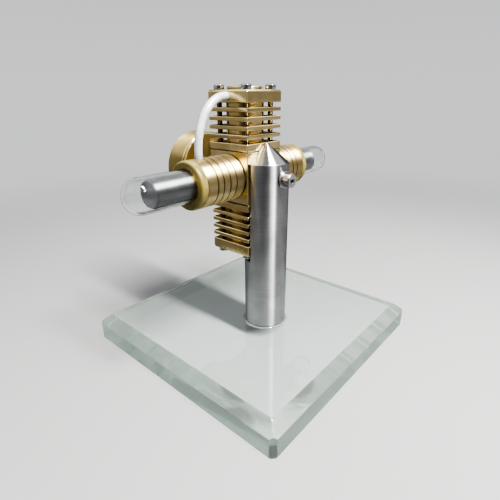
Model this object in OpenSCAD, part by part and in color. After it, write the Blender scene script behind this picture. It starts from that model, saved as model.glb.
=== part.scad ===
// Miniature hot-air (Stirling) engine with four cylinders in a cross,
// standing on a glass base. Millimetres. Origin at the centre of the base
// plate's underside, +Z up, +Y to the back, towards the flywheel, +X along
// the right displacer cylinder.

/* [Base] */
// Side of the square glass plate
plate_w = 104; // [90:1:140]
// Thickness of the plate
plate_t = 12; // [10:0.5:18]
// How far the top bevel reaches in from the side
bevel_w = 4.5; // [2:0.5:6]
// How far the top bevel reaches down
bevel_h = 4; // [2:0.5:7]
// Leg of the clipped vertical corners
corner_clip = 2; // [1:0.1:6]
// Width of the bead of clear glue around the post
glue_w = 1.2; // [0.5:0.1:2]

/* [Post] */
// Diameter of the round post
post_d = 18; // [16:1:20]
// Sideways place of the post on the plate
post_x = -2.8; // [-10:0.1:10]
// Front-to-back place of the post on the plate
post_y = -8.3; // [-14:0.1:-4]
// Distance of the milled flat behind the post's axis
flat_off = 1; // [0.5:0.1:2]
// Height of the ledge under the milled flat
ledge_z = 42; // [38:0.5:42]
// Height where the round part ends and the cone starts
shoulder_z = 82.3; // [81:0.1:83.5]
// Height of the cone's tip
tip_z = 89.5; // [87:0.5:92]

/* [Engine] */
// Height of the crank axis above the table
axis_z = 76.5; // [76.5:0.5:78]
// Width of the square crankcase and power cylinders
block_w = 20; // [20:1:20]
// Height of a finned power cylinder
cyl_h = 22; // [22:1:24]
// Diameter of the power cylinder bore
bore_d = 12; // [11:0.5:12.5]
// Diameter of the round core between the fins
core_d = 14.6; // [14:0.1:17.4]
// Thickness of one cooling fin
fin_t = 1.5; // [0.8:0.1:1.6]
// Number of cooling fins
fin_n = 4; // [3:1:5]
// Distance of the corner screws from the cylinder axis, along each side
screw_off = 7; // [6.9:0.1:7.2]
// Thickness of the gaskets
gasket_t = 0.3; // [0.2:0.1:0.4]

/* [Displacer side] */
// Diameter of the brass displacer cylinders
collar_d = 18; // [17:0.5:19]
// Distance from the crank axis to the outer face of a displacer cylinder
collar_end = 29; // [29:0.5:30]
// Width of one turned groove
groove_w = 0.6; // [0.5:0.1:1.2]
// Depth of one turned groove
groove_d = 0.8; // [0.5:0.1:1.5]
// Outside diameter of the glass tube
glass_d = 12.4; // [12:0.1:12.6]
// Wall of the glass tube
glass_wall = 0.9; // [0.8:0.1:1]
// Distance from the crank axis to the tip of the glass
glass_end = 57; // [56:0.5:60]
// Width of the amber seal ring
ring_w = 3; // [2.5:0.1:3.5]
// Diameter of the displacers
disp_d = 10; // [9:0.1:10]

/* [Motion] */
// Stroke of the pistons and of the displacers
stroke = 8; // [6:0.5:8]
// Crank angle the engine rests at
rest_angle = 117.5; // [0:0.5:360]

/* [Flywheel] */
// Diameter of the flywheel
fly_d = 31; // [26:1:34]
// Thickness of the flywheel
fly_t = 10.5; // [8:0.5:12]
// Gap between the bearing housing and the flywheel
fly_gap = 0.6; // [0.5:0.1:1.5]

/* [Tubes] */
// Outside diameter of the silicone transfer tubes
tube_d = 3; // [3:0.1:4]
// Inside diameter of the transfer tubes
tube_bore = 2; // [1.8:0.1:2]
// Distance of the tube's port from the crank axis, along the displacer axis
port_x = 25.2; // [24.8:0.1:25.4]

/* [Hidden] */
$fn = 64;
eps = 0.01;          // overlap between joined solids
run = 0.03;          // running clearance, radial

brass = [0.78, 0.64, 0.36];
steel = [0.72, 0.72, 0.74];
alu = [0.75, 0.75, 0.77];
gasket_colour = [0.25, 0.23, 0.2];
amber = [0.75, 0.62, 0.2, 0.9];
cap_glass = [0.85, 0.92, 0.92, 0.3];
silicone = [0.93, 0.93, 0.93];
can_colour = [0.6, 0.6, 0.62];
piston_colour = [0.35, 0.35, 0.37];

post_r = post_d / 2;
half = block_w / 2;
bore_r = bore_d / 2;
collar_r = collar_d / 2;
glass_r = glass_d / 2;
disp_r = disp_d / 2;
fly_r = fly_d / 2;

cavity_r = 7;        // cross bores of the crankcase
spigot_r = 6.3;      // bearing housing's spigot in the crankcase
shaft_r = 1.5;
rod_r = 0.8;
pin_r = 0.6;
crankpin_r = 0.75;

// Power cylinder, heights from the crank axis
head_z = half + cyl_h;
lower_flange = 3;
top_flange = 4.5;
slot_lo = half + lower_flange;
slot_h = (head_z - top_flange - slot_lo - fin_n * fin_t) / (fin_n + 1);
port_z = head_z - 2.2;                  // tube port in the head
head_screw_h = 2.1;                     // height of a head screw's head

// Pin places at rest, from the crank axis
crank_at = stroke / 4 * [cos(rest_angle), 0, sin(rest_angle)];
disp_at = [stroke / 2 * cos(rest_angle), 0, 0];
piston_at = [0, 0, stroke / 2 * sin(rest_angle)];

// Layers of the crank gear: [front, back] in Y
piston_yoke_y = [-2.4, -0.7];
yoke_web_y = [-0.6, 1.2];
disp_yoke_y = [1.3, 3];
crank_web_y = [3.1, 4.9];
disc_y = [5, 7];

bearing_w = 3;
bearing_y = [8, 18];                    // front faces of the two bearings
housing_end = bearing_y[1] + bearing_w;
fly_y = housing_end + fly_gap;          // front face of the flywheel
fly_back = fly_y + fly_t;

// ---------------------------------------------------------------- helpers
module in_engine() { translate([post_x, post_y + flat_off + half, axis_z]) children(); }
module in_mount() { translate([post_x, post_y, axis_z]) children(); }
module to_x() { rotate([0, 90, 0]) children(); }
module to_y() { rotate([-90, 0, 0]) children(); }
// half turn about Y: right becomes left, upper becomes lower
module opposite() { rotate([0, 180, 0]) children(); }
module both() { for (turn = [0, 180]) rotate([0, turn, 0]) children(); }
module four_about_y() { for (turn = [0 : 90 : 270]) rotate([0, turn, 0]) children(); }
module four_about_z() { for (turn = [0 : 90 : 270]) rotate([0, 0, turn]) children(); }
// turned with the crank
module at_crank_angle() { rotate([0, -rest_angle, 0]) children(); }

// cylinders along one axis, between two stations on it
module cyl_x(from, to, radius, y = 0, z = 0) {
  translate([from, y, z]) to_x() cylinder(h = to - from, r = radius);
}
module cyl_y(from, to, radius, place = [0, 0, 0]) {
  translate([place[0], from, place[2]]) to_y() cylinder(h = to - from, r = radius);
}
module cyl_z(from, to, radius, x = 0, y = 0) {
  translate([x, y, from]) cylinder(h = to - from, r = radius);
}

// cone frustums, given by start, height and the two radii
module cone_x(from, height, start_r, end_r) {
  translate([from, 0, 0]) to_x() cylinder(h = height, r1 = start_r, r2 = end_r);
}
module cone_y(from, height, start_r, end_r) {
  translate([0, from, 0]) to_y() cylinder(h = height, r1 = start_r, r2 = end_r);
}

// hollow cylinders
module tube_x(from, to, outer, inner, z = 0) {
  difference() {
    cyl_x(from, to, outer, z = z);
    cyl_x(from - 1, to + 1, inner, z = z);
  }
}
module tube_y(from, to, outer, inner, place = [0, 0, 0]) {
  difference() {
    cyl_y(from, to, outer, place);
    cyl_y(from - 1, to + 1, inner, place);
  }
}
module tube_z(from, to, outer, inner, x = 0) {
  difference() {
    cyl_z(from, to, outer, x);
    cyl_z(from - 1, to + 1, inner, x);
  }
}

// cutter along the edge at x, z that runs in Y; points are [x, z] from the edge
module edge_cut(x, z, length, points) {
  translate([x, 0, z]) rotate([90, 0, 0])
    linear_extrude(height = length, center = true) polygon(points);
}
// 45 degree chamfer section for a top edge (up = 1) or a bottom edge (up = -1)
function chamfer(leg, up) =
  [[-leg, 0], [-leg - 1, up], [1, up], [1, -up * (leg + 1)], [0, -up * leg]];

// pan-head screw with a cross recess, head up, underside of the head at z = 0
module pan_screw(length, thread_r, head_r, head_h) {
  dome_r = head_r * 1.9;
  difference() {
    union() {
      cyl_z(-length, eps, thread_r);
      intersection() {
        cylinder(h = head_h, r = head_r);
        translate([0, 0, head_h - dome_r]) sphere(r = dome_r);
      }
    }
    for (turn = [0, 90]) rotate([0, 0, turn])
      translate([-head_r * 0.55, -head_r * 0.13, head_h * 0.45])
        cube([head_r * 1.1, head_r * 0.26, head_h]);
  }
}

// ---------------------------------------------------------------- base
module base_plate() {
  side = plate_w / 2;
  cut_len = plate_w * 1.5;
  over = 5;                 // how far the bevel cutter stands outside the plate
  slope = bevel_h / bevel_w;
  bevel = [[0, 0], [over, -over * slope], [over, bevel_h + over],
    [-bevel_w - over / slope, bevel_h + over], [-bevel_w, bevel_h]];
  color([0.75, 0.85, 0.8, 0.4]) difference() {
    translate([-side, -side, 0]) cube([plate_w, plate_w, plate_t]);
    four_about_z() {
      edge_cut(side, plate_t - bevel_h, cut_len, bevel);
      // clipped vertical corner
      rotate([0, 0, 45]) translate([side * sqrt(2) - corner_clip / sqrt(2), -10, -1])
        cube([10, 20, plate_t + 2]);
      // small ground edge along the bottom
      edge_cut(side, 0, cut_len, chamfer(0.5, -1));
    }
  }
}

// fillet with a hollow outer face
module glue_bead() {
  color([0.85, 0.9, 0.9, 0.5]) translate([post_x, post_y, plate_t]) rotate_extrude()
    difference() {
      translate([post_r, 0]) square([glue_w, glue_w * 0.75]);
      translate([post_r + glue_w * 1.15, glue_w * 1.1]) circle(r = glue_w * 1.05);
    }
}

// ---------------------------------------------------------------- post
spot_y = -8.7;       // spot face under the mounting washer, from the post's axis
washer_t = 1;
mount_hole_r = 1.6;
// keeps the ledge clear of the lower head screws
ledge_top = min(ledge_z, axis_z - head_z - head_screw_h - 0.3);

module post() {
  color(alu) translate([post_x, post_y, 0]) difference() {
    union() {
      cyl_z(plate_t, shoulder_z, post_r);
      translate([0, 0, shoulder_z]) cylinder(h = tip_z - shoulder_z, r1 = post_r, r2 = 0.25);
    }
    // milled flat for the crankcase
    translate([-post_r - 1, flat_off, ledge_top]) cube([post_d + 2, post_d, tip_z]);
    // mounting hole and its spot face
    translate([0, 0, axis_z]) {
      cyl_y(-post_r - 1, flat_off + 1, mount_hole_r);
      cyl_y(-post_r - 2, spot_y, 3.6);
    }
  }
}

module mounting_washer() {
  color(steel) in_mount() tube_y(spot_y - washer_t, spot_y, 3.4, mount_hole_r);
}

module mounting_screw() {
  seat = spot_y - washer_t;
  head_h = 3;
  head_r = 2.75;
  edge = 0.3;
  color(steel) in_mount() difference() {
    union() {
      cyl_y(seat - head_h + edge, seat, head_r);
      cone_y(seat - head_h, edge, head_r - edge, head_r);
      cyl_y(seat - eps, seat + 14, 1.5);
    }
    // hexagon socket
    cyl_y(seat - head_h - 1, seat - 1.3, 1.443, $fn = 6);
  }
}

// ---------------------------------------------------------------- crankcase
case_thread_depth = 3.6;
housing_screw_off = 8;      // housing screws, from the crank axis

module corner_holes(from, to, radius) {
  for (x = [-1, 1], y = [-1, 1]) cyl_z(from, to, radius, x * screw_off, y * screw_off);
}

module crankcase() {
  color(brass) in_engine() difference() {
    translate([-half, -half, -half]) cube(block_w);
    cyl_x(-half - 1, half + 1, cavity_r);
    cyl_z(-half - 1, half + 1, cavity_r);
    // opening for the bearing housing at the back, mounting screw at the front
    cyl_y(-3.5, half + 1, spigot_r);
    cyl_y(-half - 1, 0, 1.5);
    corner_holes(half - case_thread_depth, half + 1, 1);
    corner_holes(-half - 1, -half + case_thread_depth, 1);
    four_about_y() cyl_y(7.4, half + 1, 0.8, [housing_screw_off, 0, 0]);
  }
}

module cylinder_gaskets() {
  color(gasket_colour) in_engine() both() difference() {
    translate([-half, -half, half]) cube([block_w, block_w, gasket_t]);
    cyl_z(half - 1, half + 1, cavity_r);
    corner_holes(half - 1, half + 1, 1.1);
  }
}

module collar_gaskets() {
  color(gasket_colour) in_engine() both()
    tube_x(half, half + gasket_t, collar_r, cavity_r);
}

// ---------------------------------------------------------------- power cylinders
nipple_r = 1;
nipple_bore_r = 0.6;
nipple_depth = 2.5;         // seat depth in the head
nipple_foot = 6.6;          // bottom of the seat in a displacer cylinder, from its axis

module power_cylinder() {
  difference() {
    translate([-half, -half, half + gasket_t]) cube([block_w, block_w, cyl_h - gasket_t]);
    cyl_z(half - 1, head_z + 1, bore_r);
    // counterbore at the crankcase end
    cyl_z(half - 1, half + 1.6, cavity_r - 0.4);
    corner_holes(half - 1, head_z + 1, 1.1);
    // slots between the fins, around a round core
    for (i = [0 : fin_n]) translate([0, 0, slot_lo + i * (slot_h + fin_t)]) difference() {
      translate([-half - 1, -half - 1, 0]) cube([block_w + 2, block_w + 2, slot_h]);
      cyl_z(-1, slot_h + 1, core_d / 2);
    }
    // chamfer around the head
    four_about_z() edge_cut(half, head_z, block_w * 2, chamfer(0.5, 1));
    // gas port: nipple seat, then a drilling into the bore
    cyl_x(-half - 1, -half + nipple_depth, nipple_r, z = port_z);
    cyl_x(-half, -bore_r + 1, nipple_bore_r, z = port_z);
  }
}
module upper_power_cylinder() { color(brass) in_engine() power_cylinder(); }
module lower_power_cylinder() { color(brass) in_engine() opposite() power_cylinder(); }

module head_plug() {
  flange_r = 6.75;
  flange_t = 0.9;
  edge = 0.3;
  difference() {
    union() {
      cyl_z(head_z, head_z + flange_t, flange_r);
      translate([0, 0, head_z + flange_t])
        cylinder(h = edge, r1 = flange_r, r2 = flange_r - edge);
      cyl_z(head_z - 1, head_z + eps, bore_r);
    }
    // shallow centre recess
    cyl_z(head_z + 0.8, head_z + 2, 1.2);
  }
}
module upper_head_plug() { color(brass) in_engine() head_plug(); }
module lower_head_plug() { color(brass) in_engine() opposite() head_plug(); }

// each screw's recess is turned to a different angle
module head_screws() {
  for (x = [-1, 1], y = [-1, 1]) translate([x * screw_off, y * screw_off, head_z])
    rotate([0, 0, 20 + 50 * x + 25 * y])
      pan_screw(length = cyl_h + 3, thread_r = 1, head_r = 2, head_h = head_screw_h);
}
module upper_head_screws() { color(steel) in_engine() head_screws(); }
module lower_head_screws() { color(steel) in_engine() opposite() head_screws(); }

// ---------------------------------------------------------------- displacer cylinders
groove_x = [14.7, 18, 21.3, 24.3];
seat_x = 26.4;              // inner end of the glass
wall_x = 12;                // inner face of the end wall
gland_r = 2;

module displacer_cylinder() {
  inner_x = half + gasket_t;
  edge = 0.3;
  difference() {
    union() {
      cyl_x(inner_x, collar_end, collar_r);
      cyl_x(half - 2, inner_x + eps, cavity_r);
    }
    cyl_x(half - 3, wall_x, cavity_r - 1);
    cyl_x(wall_x - 1, 15, gland_r);
    cyl_x(14, seat_x, 5.5);
    cyl_x(seat_x, collar_end + 1, glass_r + 0.05);
    for (x = groove_x)
      tube_x(x - groove_w / 2, x + groove_w / 2, collar_r + 1, collar_r - groove_d);
    // small chamfers at both rims
    difference() {
      cyl_x(inner_x, inner_x + edge, collar_r + 1);
      cone_x(inner_x, edge, collar_r - edge, collar_r);
    }
    translate([collar_end - edge, 0, 0]) difference() {
      cyl_x(0, edge + 0.1, collar_r + 1);
      cone_x(0, edge, collar_r, collar_r - edge);
      cyl_x(-1, 1, collar_r - edge);
    }
    // gas port, on the underside of the right one, on top of the left one
    cyl_z(-collar_r - 1, -nipple_foot, nipple_r, port_x);
    cyl_z(-collar_r, -5, nipple_bore_r, port_x);
  }
}
module right_displacer_cylinder() { color(brass) in_engine() displacer_cylinder(); }
module left_displacer_cylinder() { color(brass) in_engine() opposite() displacer_cylinder(); }

// ring around the glass with a rounded outer edge
module seal_ring() {
  round_r = 1.3;
  wide = collar_r - glass_r;
  translate([collar_end, 0, 0]) to_x() rotate_extrude() {
    translate([glass_r, 0]) square([wide, ring_w - round_r]);
    translate([glass_r, 0]) square([wide - round_r, ring_w]);
    translate([collar_r - round_r, ring_w - round_r]) circle(r = round_r);
  }
}
module right_seal_ring() { color(amber) in_engine() seal_ring(); }
module left_seal_ring() { color(amber) in_engine() opposite() seal_ring(); }

// glass tube with a round closed end
module hot_cap() {
  inner_r = glass_r - glass_wall;
  dome_x = glass_end - glass_r;
  to_x() rotate_extrude() difference() {
    union() {
      translate([0, seat_x]) square([glass_r, dome_x - seat_x]);
      intersection() {
        translate([0, dome_x]) circle(r = glass_r);
        translate([0, dome_x - 1]) square([glass_r, glass_r + 2]);
      }
    }
    translate([-1, seat_x - 1]) square([inner_r + 1, dome_x - seat_x + 1]);
    translate([0, dome_x]) circle(r = inner_r);
  }
}
module right_hot_cap() { color(cap_glass) in_engine() hot_cap(); }
module left_hot_cap() { color(cap_glass) in_engine() opposite() hot_cap(); }

module rod_gland_bushes() {
  color([0.7, 0.5, 0.3]) in_engine() both() difference() {
    union() {
      cyl_x(wall_x, 14, gland_r);
      cyl_x(14, 14.4, 3);
    }
    cyl_x(wall_x - 1, 15, rod_r + run);
  }
}

// ---------------------------------------------------------------- transfer tubes
lead = 2;                               // straight length at each end of a tube
nipple_gap = 0.3;                       // nipple stops this short of the lead's end
foot_z = collar_r + lead;               // lower end of the bends
bend_dx = port_x - half - lead;         // sideways run of the two bends
bend_dz = port_z - foot_z;              // their drop
// two tangent arcs, 45 degrees each: a tight one at the head, a wide one below
s45 = sin(45);
foot_bend = (bend_dz * s45 - bend_dx * (1 - s45)) / (s45 * s45 - (1 - s45) * (1 - s45));
head_bend = (bend_dx - foot_bend * (1 - s45)) / s45;

// hollow arc of 45 degrees about a centre at x, z
module tube_bend(x, z, start, radius) {
  translate([x, 0, z]) rotate([90, 0, 0]) rotate([0, 0, start]) rotate_extrude(angle = 45)
    translate([radius, 0]) difference() {
      circle(r = tube_d / 2);
      circle(r = tube_bore / 2);
    }
}
// from the upper head to the top of the left displacer cylinder
module transfer_tube() {
  tube_x(-half - lead, -half, tube_d / 2, tube_bore / 2, port_z);
  tube_bend(-half - lead, port_z - head_bend, 90, head_bend);
  tube_bend(-port_x + foot_bend, foot_z, 135, foot_bend);
  // the foot follows the round top of its cylinder
  difference() {
    tube_z(collar_r - 0.6, foot_z, tube_d / 2, tube_bore / 2, -port_x);
    cyl_x(-port_x - 5, -port_x + 5, collar_r);
  }
}
module upper_transfer_tube() { color(silicone) in_engine() transfer_tube(); }
module lower_transfer_tube() { color(silicone) in_engine() opposite() transfer_tube(); }

module hose_nipples() {
  color(steel) in_engine() both() {
    tube_x(-half - lead + nipple_gap, -half + nipple_depth, nipple_r, nipple_bore_r, port_z);
    tube_z(nipple_foot, foot_z - nipple_gap, nipple_r, nipple_bore_r, -port_x);
  }
}

// ---------------------------------------------------------------- bearing housing
bearing_r = 4;
track_r = 2.75;             // circle through the ball centres
ball_n = 7;
flange_back = half + 2;     // back face of the housing's flange

module bearing_housing() {
  neck_r = 5.5;
  edge = 0.4;
  color(brass) in_engine() difference() {
    union() {
      cyl_y(7.6, half + eps, spigot_r);
      cyl_y(half, flange_back, 9.6);
      cyl_y(flange_back - eps, housing_end - edge, neck_r);
      cone_y(housing_end - edge, edge, neck_r, neck_r - edge);
    }
    // bearing seats at both ends of a smaller through bore
    cyl_y(0, bearing_y[0] + bearing_w, bearing_r);
    cyl_y(0, housing_end + 1, 3);
    cyl_y(bearing_y[1], housing_end + 1, bearing_r);
    // screw holes and room for the heads
    four_about_y() {
      cyl_y(half - 1, half + 3, 0.9, [housing_screw_off, 0, 0]);
      cyl_y(flange_back - eps, half + 8, 1.65, [housing_screw_off, 0, 0]);
    }
  }
}

module housing_screws() {
  color(steel) in_engine() four_about_y()
    translate([housing_screw_off, flange_back, 0]) to_y() rotate([0, 0, 30])
      pan_screw(length = 4.4, thread_r = 0.8, head_r = 1.5, head_h = 1.2);
}

// ring of one bearing with the ball track cut into it
module bearing_ring(y, outer, inner) {
  difference() {
    tube_y(y, y + bearing_w, outer, inner);
    translate([0, y + bearing_w / 2, 0]) to_y() rotate_extrude()
      translate([track_r, 0]) circle(r = 0.68);
  }
}
module bearing_outer_rings() {
  color(steel) in_engine() for (y = bearing_y) bearing_ring(y, bearing_r, 3.2);
}
module bearing_inner_rings() {
  color(steel) in_engine() for (y = bearing_y) bearing_ring(y, 2.3, shaft_r);
}
module bearing_balls() {
  color(steel) in_engine() for (y = bearing_y, i = [0 : ball_n - 1])
    rotate([0, i * 360 / ball_n, 0]) translate([track_r, y + bearing_w / 2, 0]) sphere(r = 0.65);
}
module bearing_cages() {
  color([0.8, 0.7, 0.45]) in_engine() for (y = bearing_y) difference() {
    tube_y(y + 0.6, y + 2.4, 3.08, 2.42);
    for (i = [0 : ball_n - 1]) rotate([0, i * 360 / ball_n, 0])
      cyl_x(2, 3.5, 0.68, y + bearing_w / 2);
  }
}
module bearing_spacer() {
  color(alu) in_engine() tube_y(bearing_y[0] + bearing_w, bearing_y[1], 2.2, shaft_r);
}

// ---------------------------------------------------------------- crank and flywheel
module crankshaft() {
  color(steel) in_engine() difference() {
    union() {
      cyl_y(disc_y[0], disc_y[1], 5.6);
      cyl_y(disc_y[1] - eps, bearing_y[0], 2);
      cyl_y(disc_y[1], fly_back + 0.6, shaft_r);
      cyl_y(crank_web_y[0], disc_y[0] + eps, crankpin_r, crank_at);
    }
    // two balance holes on the crank pin's side of the disc
    at_crank_angle() for (side = [-1, 1])
      cyl_y(disc_y[0] - 1, disc_y[1] + 1, 0.9, [3.6, 0, side * 2.3]);
  }
}
module flywheel_spacer() {
  color(alu) in_engine() tube_y(housing_end, fly_y, 2.3, shaft_r);
}

set_y = fly_y + fly_t / 2;  // set screw, halfway through the flywheel
set_r = 1.25;
module flywheel() {
  edge = 0.8;
  color([0.85, 0.7, 0.35]) in_engine() at_crank_angle() difference() {
    union() {
      cyl_y(fly_y + edge, fly_back - edge, fly_r);
      cone_y(fly_y, edge, fly_r - edge, fly_r);
      cone_y(fly_back - edge, edge, fly_r, fly_r - edge);
    }
    cyl_y(fly_y - 1, fly_back + 1, shaft_r);
    // turned recess in the back face, around the hub
    tube_y(fly_back - 2, fly_back + 1, fly_r - 3.5, 4.5);
    // hole for the set screw, opposite the crank pin
    cyl_x(-fly_r - 1, -1, set_r, set_y);
  }
}
module flywheel_set_screw() {
  color([0.2, 0.2, 0.22]) in_engine() at_crank_angle() difference() {
    cyl_x(-6.6, -1.6, set_r, set_y);
    // hexagon socket
    cyl_x(-7.2, -5.2, 0.75, set_y, $fn = 6);
    // inner end follows the round shaft
    cyl_y(fly_y, fly_back, shaft_r);
  }
}

// ---------------------------------------------------------------- trammel link
bush_r = crankpin_r + 0.28;

// flat bar with round ends between two pin places, in one [front, back] layer
module web(start, end, layer) {
  end_r = 1.5;
  reach = end - start;
  length = norm(reach);
  arc = [for (i = [0 : 24]) i * 7.5];
  translate([start[0], layer[0], start[2]]) rotate([0, -atan2(reach[2], reach[0]), 0]) to_y()
    linear_extrude(height = layer[1] - layer[0]) polygon(concat(
      [for (turn = arc) end_r * [cos(90 + turn), sin(90 + turn)]],
      [for (turn = arc) [length + end_r * cos(turn - 90), end_r * sin(turn - 90)]]));
}
module link_crank_web() {
  color(steel) in_engine() difference() {
    web(crank_at, disp_at, crank_web_y);
    cyl_y(3, 5, bush_r, crank_at);
    cyl_y(3, 5, pin_r, disp_at);
  }
}
module link_bush() {
  color([0.75, 0.55, 0.3]) in_engine()
    tube_y(crank_web_y[0], crank_web_y[1], bush_r, crankpin_r + run, crank_at);
}
module link_yoke_web() {
  color(steel) in_engine() difference() {
    web(disp_at, piston_at, yoke_web_y);
    for (place = [disp_at, piston_at]) cyl_y(-1, 2, pin_r, place);
  }
}

retainer_y = [-2.9, -2.5];
module displacer_pin() {
  color(steel) in_engine() cyl_y(yoke_web_y[0], crank_web_y[1], pin_r, disp_at);
}
module piston_pin() {
  color(steel) in_engine() cyl_y(retainer_y[0], yoke_web_y[1], pin_r, piston_at);
}
module link_retainer() {
  color(steel) in_engine() tube_y(retainer_y[0], retainer_y[1], 1.2, pin_r, piston_at);
}

// ---------------------------------------------------------------- yokes
yoke_in = 6;                // inner face of a yoke's end block
yoke_t = 1.4;
yoke_out = yoke_in + yoke_t;
yoke_mid = yoke_in + yoke_t / 2;
yoke_hub_r = 1.8;
bar_w = 2;
block_side = 2.8;           // width of an end block across the rod

// ---------------------------------------------------------------- displacer train
disp_in = 19.5;             // inner end of a displacer, mid travel
disp_out = 46;              // outer end, mid travel
can_wall = 0.4;

module displacer_yoke() {
  bar_t = disp_yoke_y[1] - disp_yoke_y[0];
  color(brass) in_engine() translate(disp_at) difference() {
    union() {
      cyl_y(disp_yoke_y[0], disp_yoke_y[1], yoke_hub_r);
      translate([-yoke_out, disp_yoke_y[0], -bar_w / 2]) cube([2 * yoke_out, bar_t, bar_w]);
      for (side = [-1, 1])
        translate([side * yoke_mid - yoke_t / 2, -1.2, -block_side / 2])
          cube([yoke_t, 4.2, block_side]);
    }
    cyl_y(0, 4, pin_r + run);
    both() cyl_x(yoke_in - 1, yoke_out + 1, rod_r);
  }
}
module displacer_rods() {
  color(steel) in_engine() translate(disp_at) both() cyl_x(yoke_in, disp_in + 2.5, rod_r);
}
// thin can, closed at the outer end
module displacer_can() {
  edge = 0.5;
  difference() {
    union() {
      cyl_x(disp_in, disp_out - edge, disp_r);
      cone_x(disp_out - edge, edge, disp_r, disp_r - edge);
    }
    cyl_x(disp_in - 1, disp_out - 0.8, disp_r - can_wall);
  }
}
module right_displacer() { color(can_colour) in_engine() translate(disp_at) displacer_can(); }
module left_displacer() {
  color(can_colour) in_engine() translate(disp_at) opposite() displacer_can();
}
// plugs in the inner ends of the cans, with blind holes for the rods
module displacer_plugs() {
  color(alu) in_engine() translate(disp_at) both() difference() {
    cyl_x(disp_in, disp_in + 3, disp_r - can_wall);
    cyl_x(disp_in - 1, disp_in + 2.5, rod_r);
  }
}

// ---------------------------------------------------------------- piston train
piston_in = 15.5;           // inner end of a piston, mid travel
piston_out = 24.5;          // outer end, mid travel

module piston_yoke() {
  bar_t = piston_yoke_y[1] - piston_yoke_y[0];
  color(brass) in_engine() translate(piston_at) difference() {
    union() {
      cyl_y(piston_yoke_y[0], piston_yoke_y[1], yoke_hub_r);
      translate([-bar_w / 2, piston_yoke_y[0], -yoke_out]) cube([bar_w, bar_t, 2 * yoke_out]);
      for (side = [-1, 1])
        translate([-block_side / 2, piston_yoke_y[0], side * yoke_mid - yoke_t / 2])
          cube([block_side, 3.6, yoke_t]);
    }
    cyl_y(-4, 0, pin_r + run);
    both() cyl_z(yoke_in - 1, yoke_out + 1, rod_r);
  }
}
module piston_rods() {
  color(steel) in_engine() translate(piston_at) both() cyl_z(yoke_in, piston_in + 5, rod_r);
}
module piston() {
  radius = bore_r - run;
  difference() {
    cyl_z(piston_in, piston_out, radius);
    // hollow skirt around a boss
    tube_z(piston_in - 1, piston_out - 2.5, radius - 1.2, 2);
    cyl_z(piston_in - 1, piston_in + 5, rod_r);
    // two grooves near the outer end
    for (down = [2, 3.6])
      tube_z(piston_out - down, piston_out - down + 0.5, radius + 1, radius - 0.4);
  }
}
module upper_piston() { color(piston_colour) in_engine() translate(piston_at) piston(); }
module lower_piston() {
  color(piston_colour) in_engine() translate(piston_at) opposite() piston();
}

base_plate();
glue_bead();
post();
mounting_screw();
mounting_washer();
crankcase();
cylinder_gaskets();
collar_gaskets();
upper_power_cylinder();
lower_power_cylinder();
upper_head_plug();
lower_head_plug();
upper_head_screws();
lower_head_screws();
left_displacer_cylinder();
right_displacer_cylinder();
left_seal_ring();
right_seal_ring();
left_hot_cap();
right_hot_cap();
rod_gland_bushes();
upper_transfer_tube();
lower_transfer_tube();
hose_nipples();
bearing_housing();
housing_screws();
bearing_outer_rings();
bearing_inner_rings();
bearing_balls();
bearing_cages();
bearing_spacer();
crankshaft();
flywheel_spacer();
flywheel();
flywheel_set_screw();
link_bush();
link_crank_web();
link_yoke_web();
displacer_pin();
piston_pin();
link_retainer();
displacer_yoke();
displacer_rods();
left_displacer();
right_displacer();
displacer_plugs();
piston_yoke();
piston_rods();
upper_piston();
lower_piston();
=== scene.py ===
# A small hot-air engine on an aluminium post that stands on a glass plate. The brass crankcase is
# at the centre: X runs along the two displacer cylinders and their glass caps (left is -X), Y along
# the crankshaft and flywheel axis, Z up through the power cylinders. Metres, unless marked mm.
import bmesh
import bpy
import math
from mathutils import Matrix, Vector, noise


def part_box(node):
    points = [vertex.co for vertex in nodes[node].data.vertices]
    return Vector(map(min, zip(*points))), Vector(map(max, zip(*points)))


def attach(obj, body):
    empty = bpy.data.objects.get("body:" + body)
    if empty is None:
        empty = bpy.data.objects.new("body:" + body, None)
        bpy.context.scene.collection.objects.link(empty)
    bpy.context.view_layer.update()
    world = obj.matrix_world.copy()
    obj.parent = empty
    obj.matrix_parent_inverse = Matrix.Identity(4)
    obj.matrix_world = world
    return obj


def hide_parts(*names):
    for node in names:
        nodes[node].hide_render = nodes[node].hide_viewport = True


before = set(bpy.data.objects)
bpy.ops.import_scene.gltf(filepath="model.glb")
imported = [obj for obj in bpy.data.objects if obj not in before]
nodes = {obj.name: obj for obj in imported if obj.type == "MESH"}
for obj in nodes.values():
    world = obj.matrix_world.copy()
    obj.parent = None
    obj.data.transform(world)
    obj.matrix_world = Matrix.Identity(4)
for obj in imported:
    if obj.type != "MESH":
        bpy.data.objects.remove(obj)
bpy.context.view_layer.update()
MM = 0.001


# ------------------------------------------------------------------ places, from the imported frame
def middle(piece):
    low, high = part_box(piece)
    return (low + high) / 2


ENGINE = middle("crankcase")
SCREW = middle("mounting_screw")
PLATE_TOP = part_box("base_plate")[1].z
post_low, post_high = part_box("post")
POST_RADIUS = (post_high.x - post_low.x) / 2
POST = Vector(((post_low.x + post_high.x) / 2, post_low.y + POST_RADIUS, 0))
# height above the engine centre where the long screws leave the power cylinder
CYLINDER_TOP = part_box("upper_power_cylinder")[1].z - ENGINE.z

AXES = {"X": (1, 0, 0), "Y": (0, 1, 0), "Z": (0, 0, 1)}
MATERIALS = {}
MIX_SOCKETS = {"FLOAT": (2, 3, 0), "VECTOR": (4, 5, 1), "RGBA": (6, 7, 2)}  # two inputs, output
MIDDLE = (0.3, 0.7)  # the band that most noise values fall in


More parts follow.
